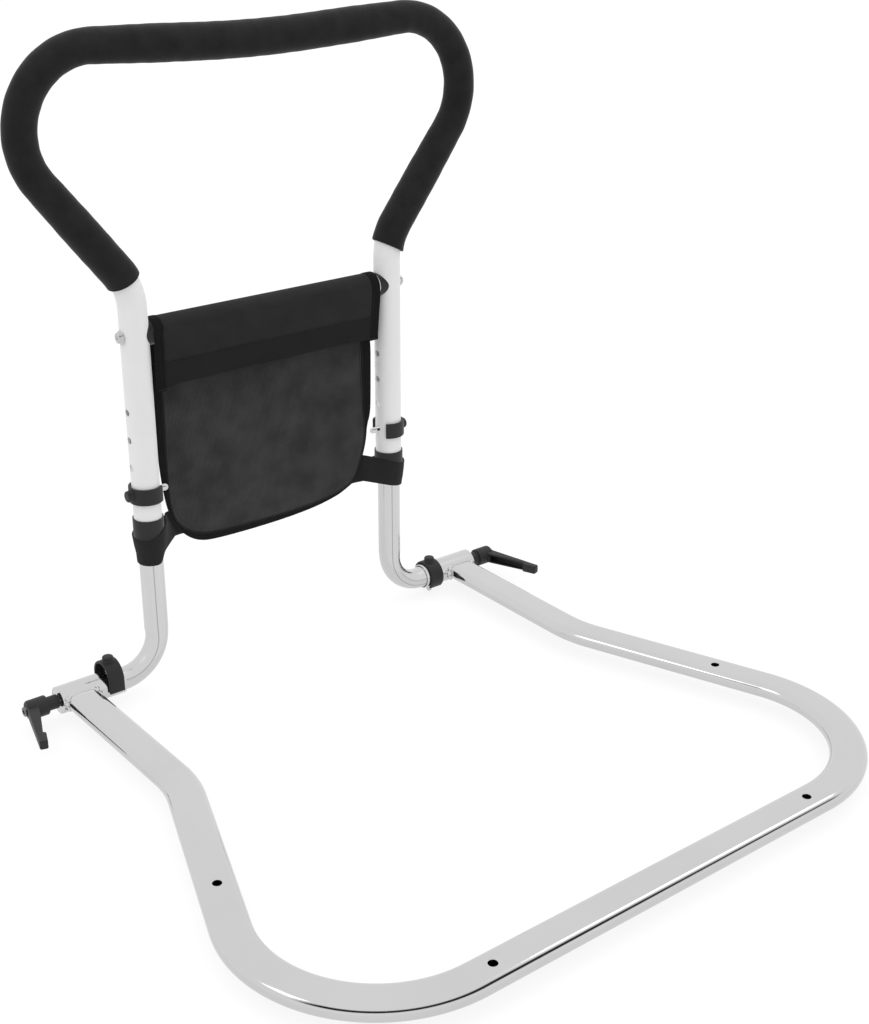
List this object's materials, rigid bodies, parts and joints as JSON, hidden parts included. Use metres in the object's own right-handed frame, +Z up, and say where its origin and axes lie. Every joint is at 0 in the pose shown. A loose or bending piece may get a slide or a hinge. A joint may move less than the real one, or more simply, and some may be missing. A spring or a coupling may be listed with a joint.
{
  "type": "bed assist handle",
  "caption": "Bed assist handle with a flat loop base for under a mattress, folding height-adjustable grab handle, foam grip, mesh pouch, snap pins and clamping levers.",
  "frame": {"origin": "centre of the bounding box, on the level of its lowest point, the tip of the right sleeve pin", "axes": "+Z up, +X to the right seen from the loop's front bar, +Y from the front bar towards the handle"},
  "size_m": [0.6168, 0.5546, 0.6014],
  "materials": {
    "chrome": "bright chrome plate",
    "white_paint": "satin white powder coat",
    "foam": "matte black foam",
    "black_plastic": "satin black moulding",
    "lever_black": "fine-grained black",
    "steel": "zinc plate",
    "cloth": "black woven cloth",
    "mesh": "dark grey mesh",
    "binding": "black edge binding"
  },
  "bodies": {
    "base": {"base_frame": "chrome", "sleeve_left": "chrome", "sleeve_right": "chrome", "sleeve_disc_left": "steel", "sleeve_disc_right": "steel"},
    "uprights": {"leg_left": "chrome", "leg_right": "chrome", "leg_plug_left": "steel", "leg_plug_right": "steel"},
    "handle": {"handle_bow": "white_paint", "foam_grip": "foam", "collar_left": "black_plastic", "collar_right": "black_plastic", "crossbar": "white_paint", "crossbar_plug_left": "black_plastic", "crossbar_plug_right": "black_plastic", "crossbar_nut_left": "steel", "crossbar_nut_right": "steel", "crossbar_screw_left": "steel", "crossbar_screw_right": "steel", "crossbar_washer_left": "steel", "crossbar_washer_right": "steel", "pouch_back": "cloth", "pouch_binding": "binding", "pouch_mesh": "mesh", "strap_left": "cloth", "strap_right": "cloth"},
    "height_lock_left": {"height_pin_left": "steel", "height_clip_left": "black_plastic"},
    "sleeve_lock_left": {"sleeve_pin_left": "steel", "sleeve_clip_left": "black_plastic"},
    "clamp_left": {"clamp_stud_left": "steel", "clamp_screw_left": "steel"},
    "lever_left": {"clamp_lever_left": "lever_black", "clamp_spring_left": "steel"},
    "height_lock_right": {"height_pin_right": "steel", "height_clip_right": "black_plastic"},
    "sleeve_lock_right": {"sleeve_pin_right": "steel", "sleeve_clip_right": "black_plastic"},
    "clamp_right": {"clamp_stud_right": "steel", "clamp_screw_right": "steel"},
    "lever_right": {"clamp_lever_right": "lever_black", "clamp_spring_right": "steel"}
  },
  "joints": [
    {"name": "uprights_fold", "type": "hinge", "parent": "base", "child": "uprights", "pos_m": [0, 0.2617, 0.0197], "axis": [1, 0, 0], "range_deg": [0, 87]},
    {"name": "handle_height", "type": "slide", "parent": "uprights", "child": "handle", "axis": [0, 0, 1], "range_m": [-0.078, 0]},
    {"name": "height_pin_left_pull", "type": "slide", "parent": "handle", "child": "height_lock_left", "axis": [-1, 0, 0], "range_m": [0, 0.038], "deforming": ["height_clip_left"]},
    {"name": "sleeve_pin_left_pull", "type": "slide", "parent": "base", "child": "sleeve_lock_left", "axis": [0, 0, 1], "range_m": [-0.0084, 0.0276], "deforming": ["sleeve_clip_left"]},
    {"name": "clamp_left_turn", "type": "hinge", "parent": "base", "child": "clamp_left", "pos_m": [-0.2385, 0.2617, 0.0197], "axis": [1, 0, 0], "range_deg": [-90, 90]},
    {"name": "lever_left_lift", "type": "slide", "parent": "clamp_left", "child": "lever_left", "axis": [-1, 0, 0], "range_m": [0, 0.005], "stiffness_N_per_m": 800, "springref_m": -0.002, "deforming": ["clamp_spring_left"]},
    {"name": "height_pin_right_pull", "type": "slide", "parent": "handle", "child": "height_lock_right", "axis": [1, 0, 0], "range_m": [0, 0.038], "deforming": ["height_clip_right"]},
    {"name": "sleeve_pin_right_pull", "type": "slide", "parent": "base", "child": "sleeve_lock_right", "axis": [0, 0, 1], "range_m": [0, 0.036], "deforming": ["sleeve_clip_right"]},
    {"name": "clamp_right_turn", "type": "hinge", "parent": "base", "child": "clamp_right", "pos_m": [0.2385, 0.2617, 0.0197], "axis": [1, 0, 0], "range_deg": [-90, 90]},
    {"name": "lever_right_lift", "type": "slide", "parent": "clamp_right", "child": "lever_right", "axis": [1, 0, 0], "range_m": [0, 0.005], "stiffness_N_per_m": 800, "springref_m": -0.002, "deforming": ["clamp_spring_right"]}
  ]
}
